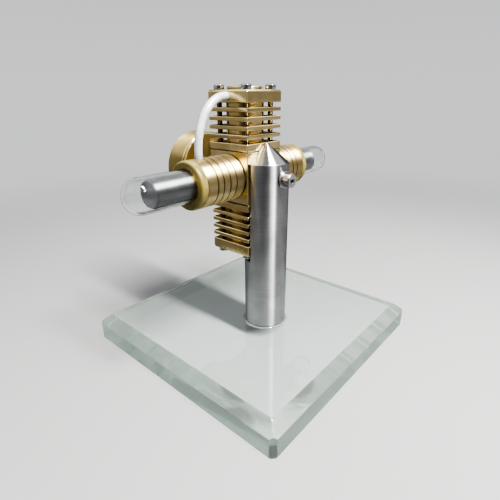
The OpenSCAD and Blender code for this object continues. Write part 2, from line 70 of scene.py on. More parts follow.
# ------------------------------------------------------------------ shader helpers
class NodeTree:
    """A short way to write the shader of a material or world."""

    def __init__(self, owner, output="ShaderNodeOutputMaterial"):
        owner.use_nodes = True
        self.nodes = owner.node_tree.nodes
        self.links = owner.node_tree.links
        self.nodes.clear()
        self.out = self.nodes.new(output)

    def put(self, socket, value):
        """Links a socket, or sets a plain value. None leaves the default."""
        if isinstance(value, bpy.types.NodeSocket):
            self.links.new(value, socket)
        elif value is not None:
            if socket.type == "RGBA" and len(value) == 3:
                value = (*value, 1.0)
            socket.default_value = value

    def node(self, kind, inputs=None, **settings):
        node = self.nodes.new(kind)
        for key, value in settings.items():
            setattr(node, key, value)
        for key, value in (inputs or {}).items():
            self.put(node.inputs[key], value)
        return node

    def first(self, kind, inputs=None, **settings):
        """The first output of a new node."""
        return self.node(kind, inputs, **settings).outputs[0]

    def coords(self):
        return self.node("ShaderNodeTexCoord").outputs["Object"]

    def normal(self):
        return self.node("ShaderNodeNewGeometry").outputs["Normal"]

    def light_path(self):
        return self.node("ShaderNodeLightPath").outputs

    def math(self, operation, *operands):
        return self.first("ShaderNodeMath", dict(enumerate(operands)), operation=operation)

    def times(self, value, by):
        return self.math("MULTIPLY", value, by)

    def plus(self, value, other):
        return self.math("ADD", value, other)

    def plus_part(self, value, extra, amount):
        return self.plus(value, self.times(extra, amount))

    def vector(self, operation, *operands):
        node = self.node("ShaderNodeVectorMath", dict(enumerate(operands)), operation=operation)
        return node.outputs["Value" if operation in ("LENGTH", "DOT_PRODUCT") else 0]

    def scaled(self, vector, by):
        return self.first("ShaderNodeVectorMath", {0: vector, "Scale": by}, operation="SCALE")

    def height_of(self, vector):
        return self.node("ShaderNodeSeparateXYZ", {0: vector}).outputs[2]

    def to_world(self, vector):
        return self.first("ShaderNodeVectorTransform", {0: vector}, vector_type="VECTOR",
                          convert_from="OBJECT", convert_to="WORLD")

    def noise(self, place, scale, detail=2.0, rough=0.5, distortion=0.0):
        return self.first("ShaderNodeTexNoise", {
            "Vector": place, "Scale": scale, "Detail": detail, "Roughness": rough,
            "Distortion": distortion})

    def ramp(self, value, across, to=(0.0, 1.0), smooth=False):
        """Maps the span `across` onto the span `to`, and holds the ends."""
        return self.first("ShaderNodeMapRange", dict(enumerate((value, *across, *to))),
                          interpolation_type="SMOOTHSTEP" if smooth else "LINEAR", clamp=True)

    def mix(self, factor, value, other, kind="RGBA"):
        first, second, result = MIX_SOCKETS[kind]
        inputs = {0: factor, first: value, second: other}
        return self.node("ShaderNodeMix", inputs, data_type=kind).outputs[result]

    def tint(self, tone, colour, where, amount):
        """Lays a colour over the tone where a mask is high."""
        return self.mix(self.times(where, amount), tone, colour)

    def bump(self, height, strength, distance, normal=None):
        return self.first("ShaderNodeBump", {
            "Strength": strength, "Distance": distance, "Height": height, "Normal": normal})

    def principled(self, **inputs):
        inputs = {key.replace("_", " "): value for key, value in inputs.items()}
        return self.first("ShaderNodeBsdfPrincipled", inputs)

    def mix_shader(self, factor, shader, other):
        return self.first("ShaderNodeMixShader", {0: factor, 1: shader, 2: other})

    def finish(self, shader, volume=None):
        self.put(self.out.inputs["Surface"], shader)
        if volume is not None:
            self.put(self.out.inputs["Volume"], volume)


def new_material(name):
    MATERIALS[name] = bpy.data.materials.new(name)
    return NodeTree(MATERIALS[name])


def scale_colour(colour, gain, lift=0.0, limit=1.0):
    return tuple(min(limit, v * gain + lift) for v in colour)


def hollow_shade(tree, reach=0.0012):
    """Painted shade: 0 out in the open to 1 deep in a slot or corner, where the surface is coloured
    darker.
    """
    hidden = tree.node("ShaderNodeAmbientOcclusion", {"Distance": reach}, samples=6)
    return tree.ramp(hidden.outputs["AO"], across=(0.25, 0.75), to=(1.0, 0.0), smooth=True)


def edge_wear_and_highlight(tree, radius_mm):
    """Normal rolled over at the edges, and how close to an edge the place is, where the callers
    paint a lighter colour, partly rubbed metal and partly painted highlight.
    """
    rolled = tree.first("ShaderNodeBevel", {"Radius": radius_mm * MM}, samples=6)
    likeness = tree.vector("DOT_PRODUCT", rolled, tree.normal())
    return rolled, tree.ramp(likeness, across=(0.99, 0.90), smooth=True)


def axis_parts(tree, centre, axis):
    """Place, length along the axis, radius, and the unit vector away from the axis."""
    place = tree.vector("SUBTRACT", tree.coords(), tuple(centre))
    along = tree.vector("DOT_PRODUCT", place, AXES[axis])
    radial = tree.vector("SUBTRACT", place, tree.scaled(AXES[axis], by=along))
    radius = tree.vector("LENGTH", radial)
    return place, along, radius, tree.vector("NORMALIZE", radial)


# ------------------------------------------------------------------ kinds of material
def turned_metal(name, axis, dark, light, spot, centre=ENGINE, rough=(0.36, 0.46), aniso=0.95,
                 marks=1.0, tarnish=0.15, seed=0.0, coarse=1300.0):
    """Bar turned on a lathe: fine rings around the axis, highlights drawn out along it, uneven
    colour and dull patches. marks is the strength of the rings, coarse how dense they are."""
    tree = new_material(name)
    place, along, radius, away = axis_parts(tree, centre, axis)
    shifted = tree.vector("ADD", place, (seed, seed * 0.7, -seed))
    wander = tree.times(tree.noise(shifted, scale=160.0, detail=1.0), by=0.0006)
    ring = tree.first("ShaderNodeCombineXYZ", {
        "X": tree.plus(along, wander), "Y": tree.times(radius, by=1.1), "Z": seed})
    fine = tree.noise(ring, scale=coarse * 3.1, rough=0.6)
    broad = tree.noise(ring, scale=coarse, rough=0.55)
    cloud = tree.noise(shifted, scale=85.0, detail=3.0, rough=0.55, distortion=0.4)
    speck = tree.noise(shifted, scale=900.0, detail=3.0, rough=0.65)

    tone = tree.mix(tree.ramp(cloud, across=(0.32, 0.68), smooth=True), dark, light)
    rings = tree.ramp(broad, across=(0.35, 0.7))
    tone = tree.tint(tone, spot, where=rings, amount=0.07 * marks)
    dull = tree.times(tree.ramp(speck, across=(0.56, 0.78), smooth=True),
                      by=tree.ramp(cloud, across=(0.42, 0.72), to=(0.1, 1.0)))
    tone = tree.tint(tone, spot, where=dull, amount=tarnish)
    # painted shade: a darker spot colour deep in slots and corners
    tone = tree.tint(tone, scale_colour(spot, gain=0.4), where=hollow_shade(tree), amount=0.55)
    # edges coloured lighter, partly rubbed metal and partly painted highlight
    rolled, near = edge_wear_and_highlight(tree, radius_mm=0.16)
    bright = scale_colour(light, gain=1.35, limit=0.96)
    tone = tree.tint(tone, bright, where=near, amount=0.6)

    mean, spread = (rough[0] + rough[1]) / 2, (rough[1] - rough[0]) / 2
    swing = spread * 0.35
    roughness = tree.ramp(broad, across=MIDDLE, to=(mean - swing, mean + swing))
    roughness = tree.plus_part(roughness, dull, amount=0.07)
    centred = tree.math("SUBTRACT", cloud, 0.5)
    roughness = tree.plus_part(roughness, centred, amount=spread * 2.2)
    normal = tree.bump(fine, strength=0.022 * marks, distance=0.00003, normal=rolled)
    normal = tree.bump(broad, strength=0.022 * marks, distance=0.00007, normal=normal)

    # on end faces the highlight is drawn out from the axis instead of along it
    end_limit = 0.7
    facing = tree.normal()
    world_axis = tree.to_world(AXES[axis])
    facing = tree.math("ABSOLUTE", tree.vector("DOT_PRODUCT", facing, world_axis))
    on_end = tree.math("GREATER_THAN", facing, end_limit)
    tangent = tree.mix(on_end, world_axis, tree.to_world(away), kind="VECTOR")
    tree.finish(tree.principled(Base_Color=tone, Metallic=1.0, Roughness=roughness,
                                Anisotropic=aniso, Normal=normal, Tangent=tangent))


def milled_metal(name, dark, light, spot, rough=(0.17, 0.25), seed=0.0):
    """Square bar faced with a cutter: faint level tool lines across each face, grease and tarnish
    clouds, a rougher surface and painted shade in the slots."""
    tree = new_material(name)
    place = tree.vector("SUBTRACT", tree.coords(), tuple(ENGINE))
    shifted = tree.vector("ADD", place, (seed, -seed, seed * 0.6))
    line_scale, sweep_scale = (190.0, 190.0, 3800.0), (120.0, 120.0, 420.0)
    lines = tree.noise(tree.vector("MULTIPLY", shifted, line_scale), scale=1.0, rough=0.6)
    sweep = tree.noise(tree.vector("MULTIPLY", shifted, sweep_scale), scale=1.0, distortion=0.3)
    cloud = tree.noise(shifted, scale=95.0, detail=3.0, rough=0.6, distortion=0.5)
    speck = tree.noise(shifted, scale=1100.0, detail=3.0, rough=0.65)

    tone = tree.mix(tree.ramp(cloud, across=MIDDLE, smooth=True), dark, light)
    tone = tree.tint(tone, spot, where=tree.ramp(sweep, across=(0.4, 0.7)), amount=0.05)
    dull = tree.times(tree.ramp(speck, across=(0.55, 0.78), smooth=True),
                      by=tree.ramp(cloud, across=(0.45, 0.7), to=(0.1, 1.0)))
    tone = tree.tint(tone, spot, where=dull, amount=0.18)
    # painted shade: a darker spot colour deep in slots and corners
    deep = hollow_shade(tree, reach=0.0013)
    tone = tree.tint(tone, scale_colour(spot, gain=0.4), where=deep, amount=0.5)
    # edges coloured lighter, partly rubbed brass and partly painted highlight
    rolled, near = edge_wear_and_highlight(tree, radius_mm=0.24)
    bright = scale_colour(light, gain=1.4, limit=0.97)
    tone = tree.tint(tone, bright, where=near, amount=0.75)

    dirt_and_hollow_shade = tree.plus_part(tree.times(dull, by=0.10), deep, amount=0.12)
    roughness = tree.plus(tree.ramp(lines, across=MIDDLE, to=rough), dirt_and_hollow_shade)
    normal = tree.bump(lines, strength=0.025, distance=0.00003, normal=rolled)
    normal = tree.bump(sweep, strength=0.02, distance=0.0002, normal=normal)
    tree.finish(tree.principled(Base_Color=tone, Metallic=1.0, Roughness=roughness,
                                Anisotropic=0.3, Normal=normal,
                                Tangent=tree.to_world(AXES["Z"])))


def plain_metal(name, dark, light, rough=(0.15, 0.28), bump=0.05, dirt_and_hollow_shade=0.6):
    """Small hardware: plated or ground, with uneven tone, fine scratches and rubbed patches."""
    tree = new_material(name)
    place = tree.coords()
    cloud = tree.noise(place, scale=160.0, detail=3.0, rough=0.6, distortion=0.3)
    stretch = (1.0, 1.0, 3.0)
    grain = tree.noise(tree.vector("MULTIPLY", place, stretch), scale=2400.0, rough=0.6)
    tone = tree.mix(tree.ramp(cloud, across=MIDDLE, smooth=True), dark, light)
    # painted shade: near black deep in slots, sockets and corners
    deep = hollow_shade(tree, reach=0.0009)
    hollow_shade_colour = (0.02, 0.017, 0.013)
    tone = tree.tint(tone, hollow_shade_colour, where=deep, amount=dirt_and_hollow_shade)
    uneven = tree.plus_part(tree.times(grain, by=0.06), deep, amount=0.15)
    roughness = tree.plus(tree.ramp(cloud, across=MIDDLE, to=rough), uneven)
    # edges coloured lighter, partly rubbed metal and partly painted highlight
    rolled, near = edge_wear_and_highlight(tree, radius_mm=0.12)
    bright = scale_colour(light, gain=1.25, lift=0.02, limit=0.97)
    tone = tree.tint(tone, bright, where=near, amount=0.4)
    normal = tree.bump(grain, strength=bump, distance=0.0001, normal=rolled)
    tree.finish(tree.principled(Base_Color=tone, Metallic=1.0, Roughness=roughness,
                                Normal=normal))


def threaded(name, dark, light, pitch=0.0004):
    """Long steel screws: bright pan heads, and a bumped thread on the shank between them, coloured
    dark as painted shade.
    """
    tree = new_material(name)
    place = tree.coords()
    height = tree.height_of(tree.vector("SUBTRACT", place, tuple(ENGINE)))
    shank = tree.math("LESS_THAN", tree.math("ABSOLUTE", height), CYLINDER_TOP)
    cloud = tree.noise(place, scale=420.0, detail=3.0, rough=0.6, distortion=0.3)
    tone = tree.mix(tree.ramp(cloud, across=MIDDLE, smooth=True), dark, light)
    # painted shade: near black in hollows, and the shank between the fins coloured darker than the
    # heads
    hollow_shade_colour, shank_shade_colour = (0.03, 0.026, 0.02), (0.16, 0.145, 0.12)
    tone = tree.tint(tone, hollow_shade_colour, where=hollow_shade(tree, reach=0.0008), amount=0.92)
    tone = tree.mix(shank, tone, shank_shade_colour)
    # each turn of the thread is one valley halfway between two crests
    turn = tree.math("FRACT", tree.math("DIVIDE", height, pitch))
    ridge = tree.math("ABSOLUTE", tree.math("SUBTRACT", turn, 0.5))
    normal = tree.bump(ridge, strength=tree.times(shank, by=0.8), distance=0.0002)
    roughness = tree.ramp(cloud, across=MIDDLE, to=(0.10, 0.17))
    tree.finish(tree.principled(Base_Color=tone, Metallic=1.0, Roughness=roughness,
                                Normal=normal))


def transparent(tree, colour):
    return tree.first("ShaderNodeBsdfTransparent", {"Color": colour})


def clear_for_light(tree, shader, tint):
    """Lets light through clear pieces unbent, so that what is under and inside them stays lit."""
    path = tree.light_path()
    unbent = tree.math("MAXIMUM", path["Is Shadow Ray"], path["Is Diffuse Ray"])
    return tree.mix_shader(unbent, shader, transparent(tree, tint))


def plate_glass(name):
    """Thick plate: smears and hairline scratches on its top, hazy ground sides and bevels."""
    tree = new_material(name)
    place = tree.coords()
    level_limit = 0.97  # faces that tilt more than this cosine count as sides
    upright = tree.math("ABSOLUTE", tree.height_of(tree.normal()))
    side = tree.math("LESS_THAN", upright, level_limit)
    smear = tree.noise(place, scale=45.0, detail=3.0, rough=0.6, distortion=0.8)
    fog_scale, wave_scale = (55.0, 55.0, 160.0), (70.0, 70.0, 140.0)
    fog = tree.noise(tree.vector("MULTIPLY", place, fog_scale), scale=1.0, detail=3.0)

    hair = tree.node("ShaderNodeTexWave", {
        "Vector": place, "Scale": 900.0, "Distortion": 9.0, "Detail": 3.0, "Detail Scale": 0.4,
    }, wave_type="BANDS", bands_direction="DIAGONAL").outputs[1]
    patches = tree.noise(place, scale=130.0)
    scratch = tree.times(tree.ramp(hair, across=(0.985, 1.0)),
                         by=tree.ramp(patches, across=(0.52, 0.66)))
    top_rough = tree.ramp(smear, across=(0.45, 0.75), to=(0.0, 0.05))
    top_rough = tree.plus_part(top_rough, scratch, amount=0.25)
    side_rough = tree.ramp(fog, across=MIDDLE, to=(0.05, 0.10))
    top = tree.math("SUBTRACT", 1.0, side)
    roughness = tree.plus(tree.times(side, by=side_rough), tree.times(top, by=top_rough))
    wave = tree.noise(tree.vector("MULTIPLY", place, wave_scale), scale=1.0, distortion=0.6)
    normal = tree.bump(wave, strength=tree.times(side, by=0.06), distance=0.0012)
    top_tone, side_tone = (0.985, 1.0, 0.99), (0.88, 0.94, 0.91)
    glass = tree.principled(Base_Color=tree.mix(side, top_tone, side_tone), Roughness=roughness,
                            IOR=1.52, Transmission_Weight=1.0, Normal=normal)
    volume = tree.first("ShaderNodeVolumeAbsorption", {
        "Color": (0.70, 0.86, 0.78), "Density": 7.0})

    # the ground sides and bevels keep a little of the grinding haze
    haze_dark, haze_light = (0.31, 0.345, 0.325), (0.35, 0.385, 0.365)
    haze_patches = tree.ramp(smear, across=(0.35, 0.7), smooth=True)
    haze_tone = tree.mix(haze_patches, haze_dark, haze_light)
    through = tree.first("ShaderNodeBsdfTranslucent", {"Color": haze_tone})
    back = tree.first("ShaderNodeBsdfDiffuse", {"Color": haze_tone})
    half = 0.5
    haze = tree.mix_shader(half, through, back)
    hazy = tree.times(side, by=tree.ramp(fog, across=MIDDLE, to=(0.36, 0.46)))
    body = tree.mix_shader(hazy, glass, haze)
    tree.finish(clear_for_light(tree, body, tint=(0.94, 0.968, 0.955)), volume)


def tube_glass(name):
    """Thin blown glass with faint swirls and smears."""
    tree = new_material(name)
    place = tree.vector("SUBTRACT", tree.coords(), tuple(ENGINE))
    smear = tree.noise(place, scale=260.0, detail=3.0, rough=0.6, distortion=0.7)
    swirl_scale = (120.0, 500.0, 500.0)
    swirl = tree.noise(tree.vector("MULTIPLY", place, swirl_scale), scale=1.0, distortion=1.2)
    glass = tree.principled(
        Base_Color=(0.97, 0.99, 0.985), IOR=1.47, Transmission_Weight=1.0,
        Roughness=tree.ramp(smear, across=(0.5, 0.8), to=(0.0, 0.05)),
        Normal=tree.bump(swirl, strength=0.018, distance=0.0006))
    tree.finish(clear_for_light(tree, glass, tint=(0.93, 0.95, 0.945)))


def soft_clear(name, tint, deep, rough, scatter, radius, transmission, ior, scale, bump,
               shadow=(0.5, 0.5, 0.5)):
    """Silicone, glue and seal rubber: cloudy, soft-edged, light goes a little way in."""
    tree = new_material(name)
    place = tree.coords()
    cloud = tree.noise(place, scale=scale, detail=3.0, rough=0.55, distortion=0.4)
    fine = tree.noise(place, scale=scale * 7, rough=0.6)
    body = tree.principled(
        Base_Color=tree.mix(tree.ramp(cloud, across=MIDDLE, smooth=True), tint, deep),
        Roughness=tree.ramp(cloud, across=MIDDLE, to=(rough * 0.75, rough * 1.25)),
        IOR=ior, Transmission_Weight=transmission, Subsurface_Weight=scatter,
        Subsurface_Radius=radius, Subsurface_Scale=1.0, Coat_Weight=0.12, Coat_Roughness=0.2,
        Normal=tree.bump(tree.plus_part(cloud, fine, amount=0.15), strength=bump,
                         distance=0.0003))
    shade = transparent(tree, shadow)
    tree.finish(tree.mix_shader(tree.light_path()["Is Shadow Ray"], body, shade))


def dull_solid(name, dark, light, rough, scale, bump=0.3, metallic=0.0):
    """Paper gasket, graphite, sintered bronze: fine-grained and matt."""
    tree = new_material(name)
    place = tree.coords()
    cloud = tree.noise(place, scale=scale * 0.3, detail=3.0, rough=0.6)
    grain = tree.noise(place, scale=scale * 4.0, detail=3.0, rough=0.7)
    mottle = tree.plus_part(tree.times(cloud, by=0.6), grain, amount=0.4)
    tree.finish(tree.principled(
        Base_Color=tree.mix(tree.ramp(mottle, across=MIDDLE), dark, light), Metallic=metallic,
        Roughness=tree.ramp(grain, across=MIDDLE, to=(rough - 0.1, rough + 0.1)),
        Normal=tree.bump(grain, strength=bump, distance=0.0001)))


# ------------------------------------------------------------------ materials
BRASS = dict(dark=(0.62, 0.475, 0.225), light=(0.77, 0.62, 0.335), spot=(0.38, 0.255, 0.11))
ALUMINIUM = dict(dark=(0.52, 0.52, 0.54), light=(0.68, 0.68, 0.70), spot=(0.4, 0.4, 0.41))

milled_metal("brass_block", **BRASS, seed=0.31)
milled_metal("brass_crankcase", dark=(0.61, 0.465, 0.215), light=(0.76, 0.61, 0.325),
             spot=BRASS["spot"], rough=(0.16, 0.24), seed=1.3)
# painted highlight: the bevel faces are coloured lighter than the faces beside them
plain_metal("brass_edge", dark=(0.86, 0.69, 0.38), light=(0.96, 0.82, 0.52),
            rough=(0.26, 0.34), bump=0.02)
turned_metal("brass_collar", "X", dark=(0.64, 0.495, 0.25), light=(0.78, 0.64, 0.37),
             spot=(0.40, 0.27, 0.13), rough=(0.37, 0.46), aniso=0.9, marks=2.2, seed=0.5)
# painted highlight: the bevel faces are coloured lighter than the faces beside them
plain_metal("brass_collar_edge", dark=(0.86, 0.70, 0.40), light=(0.96, 0.84, 0.56),
            rough=(0.22, 0.3), bump=0.02)
turned_metal("brass_plug", "Z", dark=(0.60, 0.46, 0.24), light=(0.73, 0.59, 0.34),
             spot=(0.38, 0.26, 0.12), rough=(0.34, 0.44), seed=0.9)
turned_metal("brass_housing", "Y", **BRASS, seed=1.7)
# painted shade: the flywheel brass is coloured darker than the other brass parts
turned_metal("brass_flywheel", "Y", dark=(0.42, 0.32, 0.13), light=(0.54, 0.43, 0.195),
             spot=(0.44, 0.30, 0.11), rough=(0.30, 0.40), aniso=0.9, seed=2.3, coarse=1600.0)
# painted highlight: the bevel faces are coloured lighter than the faces beside them
plain_metal("brass_flywheel_edge", dark=(0.88, 0.72, 0.40), light=(0.97, 0.85, 0.54),
            rough=(0.2, 0.3), bump=0.02)
milled_metal("brass_yoke", **BRASS, seed=2.9)
turned_metal("aluminium_post", "Z", centre=POST, dark=(0.38, 0.38, 0.388),
             light=(0.49, 0.49, 0.502), spot=(0.20, 0.20, 0.205), rough=(0.27, 0.33),
             aniso=1.0, marks=3.2, tarnish=0.12, seed=0.2, coarse=1500.0)
# painted highlight: the bevel faces are coloured lighter than the faces beside them
plain_metal("aluminium_edge", dark=(0.80, 0.80, 0.81), light=(0.92, 0.92, 0.93),
            rough=(0.12, 0.2), bump=0.02)
turned_metal("aluminium_plug", "X", **ALUMINIUM, seed=0.8)
turned_metal("aluminium_spacer", "Y", **ALUMINIUM, seed=1.1)
turned_metal("steel_displacer", "X", dark=(0.27, 0.273, 0.285), light=(0.39, 0.395, 0.41),
             spot=(0.18, 0.175, 0.175), rough=(0.42, 0.52), aniso=0.9, marks=0.6, seed=3.3,
             coarse=1100.0)
plain_metal("steel_screw", dark=(0.68, 0.67, 0.65), light=(0.84, 0.83, 0.81),
            rough=(0.24, 0.36), bump=0.03)
plain_metal("steel_socket_screw", dark=(0.46, 0.455, 0.44), light=(0.62, 0.61, 0.60),
            rough=(0.14, 0.24), bump=0.03, dirt_and_hollow_shade=0.95)
threaded("steel_long_screw", dark=(0.55, 0.545, 0.535), light=(0.70, 0.695, 0.685))
turned_metal("steel_washer", "Y", centre=SCREW, dark=(0.56, 0.56, 0.55),
             light=(0.72, 0.71, 0.70), spot=(0.36, 0.35, 0.33), rough=(0.3, 0.4), seed=4.1)
turned_metal("steel_shaft", "Y", dark=(0.56, 0.56, 0.57), light=(0.72, 0.72, 0.73),
             spot=(0.4, 0.4, 0.41), rough=(0.3, 0.38), marks=0.6, seed=4.7)
plain_metal("steel_rod", dark=(0.58, 0.58, 0.6), light=(0.72, 0.72, 0.74), rough=(0.12, 0.22))
plain_metal("steel_bearing", dark=(0.52, 0.53, 0.55), light=(0.68, 0.69, 0.71),
            rough=(0.08, 0.16), bump=0.02)
plain_metal("black_steel", dark=(0.035, 0.034, 0.036), light=(0.07, 0.066, 0.066),
            rough=(0.32, 0.45), bump=0.12)
dull_solid("graphite_piston", dark=(0.045, 0.045, 0.048), light=(0.10, 0.10, 0.105),
           rough=0.42, scale=600.0, bump=0.25, metallic=0.3)
dull_solid("bronze_bush", dark=(0.36, 0.19, 0.075), light=(0.56, 0.33, 0.15),
           rough=0.36, scale=900.0, metallic=1.0)
dull_solid("gasket_paper", dark=(0.035, 0.028, 0.02), light=(0.085, 0.065, 0.045),
           rough=0.75, scale=700.0)
plate_glass("plate_glass")
tube_glass("cap_glass")
soft_clear("clear_glue", tint=(0.80, 0.83, 0.82), deep=(0.66, 0.70, 0.69), rough=0.12,
           scatter=0.04, radius=(0.002, 0.002, 0.002), transmission=0.95, ior=1.46,
           scale=420.0, bump=0.25)
soft_clear("amber_seal", tint=(0.30, 0.25, 0.09), deep=(0.22, 0.175, 0.048), rough=0.3,
           scatter=0.35, radius=(0.0024, 0.0019, 0.0008), transmission=0.4, ior=1.45,
           scale=160.0, bump=0.05, shadow=(0.55, 0.44, 0.18))
soft_clear("silicone_tube", tint=(0.70, 0.70, 0.70), deep=(0.56, 0.565, 0.575), rough=0.26,
           scatter=0.35, radius=(0.0018, 0.0018, 0.002), transmission=0.5, ior=1.42,
           scale=240.0, bump=0.06)


# ------------------------------------------------------------------ modifiers for CAD pieces
def shading_group(name, crease=None):
    """Shades all faces smooth, but edges crisp where they bend by more than crease degrees."""
    group = bpy.data.node_groups.new(name, "GeometryNodeTree")
    for direction in ("INPUT", "OUTPUT"):
        group.interface.new_socket("Geometry", in_out=direction,
                                   socket_type="NodeSocketGeometry")
    link = group.links.new
    source, result = group.nodes.new("NodeGroupInput"), group.nodes.new("NodeGroupOutput")
    faces = group.nodes.new("GeometryNodeSetShadeSmooth")
    link(source.outputs[0], faces.inputs[0])
    last = faces
    if crease is not None:
        last = group.nodes.new("GeometryNodeSetShadeSmooth")
        last.domain = "EDGE"
        last.inputs["Shade Smooth"].default_value = False
        angle = group.nodes.new("GeometryNodeInputMeshEdgeAngle")
        over = group.nodes.new("ShaderNodeMath")
        over.operation = "GREATER_THAN"
        over.inputs[1].default_value = math.radians(crease)
        link(angle.outputs[0], over.inputs[0])
        link(faces.outputs[0], last.inputs[0])
        link(over.outputs[0], last.inputs[1])
    link(last.outputs[0], result.inputs[0])
    return group


SMOOTH = shading_group("smooth_faces")
CRISP = shading_group("crisp_faces", crease=32)


def dress(piece, material, bevel=0.0, segments=2, edge=None, crisp=False, dissolve=True):
    """Gives a CAD piece its material, rounds its edges by bevel mm and evens out its shading."""
    obj = nodes[piece]
    obj.data.materials.clear()
    obj.data.materials.append(MATERIALS[material])
    if edge:
        obj.data.materials.append(MATERIALS[edge])
    weld = obj.modifiers.new("weld", "WELD")
    weld.merge_threshold = 1e-6
    if dissolve:
        flats = obj.modifiers.new("flats", "DECIMATE")
        flats.decimate_type = "DISSOLVE"
        flats.angle_limit = math.radians(0.6)
    if bevel:
        edges = obj.modifiers.new("edges", "BEVEL")
        edges.width = bevel * MM
        edges.segments = segments
        edges.limit_method = "ANGLE"
        edges.angle_limit = math.radians(28.0)
        edges.use_clamp_overlap = not crisp
        edges.miter_outer = "MITER_SHARP"
        if edge:
            edges.material = 1
    smooth = obj.modifiers.new("smooth", "NODES")
    smooth.node_group = CRISP if crisp else SMOOTH
    if not crisp:
        normals = obj.modifiers.new("normals", "WEIGHTED_NORMAL")
        normals.mode = "FACE_AREA"
        normals.weight = 80
        normals.keep_sharp = False


FINISHES = (
    # pieces, material, bevel in mm, bevel segments, material of the bevels, crisp shading
    ("base_plate", "plate_glass", 0.25, 2),
    ("post", "aluminium_post", 0.2, 2, "aluminium_edge"),
    ("mounting_screw", "steel_socket_screw", 0.12, 2),
    ("mounting_washer", "steel_washer", 0.12, 2),
    ("crankcase", "brass_crankcase", 0.18, 1, "brass_edge", True),
    ("cylinder_gaskets collar_gaskets", "gasket_paper"),
    ("upper_power_cylinder lower_power_cylinder", "brass_block", 0.18, 1, "brass_edge", True),
    ("upper_head_plug lower_head_plug", "brass_plug", 0.08, 2, "brass_edge"),
    ("upper_head_screws lower_head_screws", "steel_long_screw", 0.06, 2),
    ("upper_piston lower_piston", "graphite_piston", 0.05, 1),
    ("left_displacer_cylinder right_displacer_cylinder", "brass_collar", 0.1, 2,
     "brass_collar_edge"),
    ("rod_gland_bushes", "bronze_bush", 0.05, 1),
    ("hose_nipples", "steel_screw", 0.05, 1),
    ("bearing_housing", "brass_housing"),
    ("housing_screws", "steel_screw", 0.05, 2),
    ("bearing_outer_rings bearing_inner_rings", "steel_bearing", 0.04, 1),
    ("bearing_spacer flywheel_spacer", "aluminium_spacer", 0.05, 1),
    ("crankshaft", "steel_shaft", 0.06, 1),
    ("flywheel", "brass_flywheel", 0.12, 2, "brass_flywheel_edge", True),
    ("flywheel_set_screw", "black_steel", 0.05, 1),
    ("link_bush", "bronze_bush", 0.03, 1),
    ("link_crank_web link_yoke_web", "steel_rod", 0.08, 2),
    ("displacer_pin piston_pin displacer_rods piston_rods", "steel_rod", 0.05, 1),
    ("link_retainer", "black_steel", 0.04, 1),
    ("displacer_yoke piston_yoke", "brass_yoke", 0.08, 2),
    ("displacer_plugs", "aluminium_plug", 0.05, 1),
)
for pieces, *finish in FINISHES:
    for piece in pieces.split():
        dress(piece, *finish)
dress("bearing_balls", "steel_bearing", dissolve=False)
dress("bearing_cages", "bronze_bush", dissolve=False)


# ------------------------------------------------------------------ mesh helpers
def add_object(name, bm, material, replaced, body="frame", smooth_angle=35.0):
    bmesh.ops.remove_doubles(bm, verts=bm.verts, dist=1e-8)
    bmesh.ops.recalc_face_normals(bm, faces=bm.faces)
    mesh = bpy.data.meshes.new(name)
    bm.to_mesh(mesh)
    bm.free()
    for face in mesh.polygons:
        face.use_smooth = True
    mesh.set_sharp_from_angle(angle=math.radians(smooth_angle))
    mesh.materials.append(MATERIALS[material])
    obj = bpy.data.objects.new(name, mesh)
    bpy.context.scene.collection.objects.link(obj)
    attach(obj, body)
    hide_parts(replaced)


def lathe(profile, centre, axis, sign=1, segments=128, closed=False, wobble=None):
    """Turns a profile of (along, radius) pairs in mm about an axis. closed joins the last point
    to the first. wobble(angle, along, radius) shifts a point off the true shape."""
    bm = bmesh.new()
    forward = Vector(AXES[axis]) * sign
    across = Vector(AXES["X" if axis == "Z" else "Z"])
    other = forward.cross(across)
    rings = []
    for along, radius in profile:
        if radius < 1e-6:
            rings.append([bm.verts.new(centre + forward * (along * MM))])
            continue
        ring = []
        for k in range(segments):
            angle = 2 * math.pi * k / segments
            outward = across * math.cos(angle) + other * math.sin(angle)
            h, r = wobble(angle, along, radius) if wobble else (along, radius)
            ring.append(bm.verts.new(centre + forward * (h * MM) + outward * (r * MM)))
        rings.append(ring)
    count = len(rings)
    for i in range(count if closed else count - 1):
        near, far = rings[i], rings[(i + 1) % count]
        for k in range(segments):
            k2 = (k + 1) % segments
            if len(near) == 1:
                bm.faces.new((near[0], far[k2], far[k]))
            elif len(far) == 1:
                bm.faces.new((near[k], near[k2], far[0]))
            else:
                bm.faces.new((near[k], near[k2], far[k2], far[k]))
    return bm


def join(bm, other):
    """Adds a second surface to the first and closes the seam between them."""
    carrier = bpy.data.meshes.new("tmp")
    other.to_mesh(carrier)
    other.free()
    bm.from_mesh(carrier)
    bpy.data.meshes.remove(carrier)
    bmesh.ops.remove_doubles(bm, verts=bm.verts, dist=2e-6)
    return bm


def arc(along, radius, bend, start, end, steps):
    """Profile points on an arc of radius bend about (along, radius), angles in degrees."""
    angles = [math.radians(start + (end - start) * i / steps) for i in range(steps + 1)]
    return [(along + bend * math.cos(a), radius + bend * math.sin(a)) for a in angles]


def straight(start, end, radius, steps):
    """Profile points at one radius, without the start point."""
    return [(start + (end - start) * i / steps, radius) for i in range(1, steps + 1)]


def measure(piece, sign):
    """Near and far end from the engine centre and outer radius of a piece on X, in mm."""
    low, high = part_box(piece)
    near, far = sorted(((low.x - ENGINE.x) / MM * sign, (high.x - ENGINE.x) / MM * sign))
    return near, far, (high.z - low.z) / 2 / MM


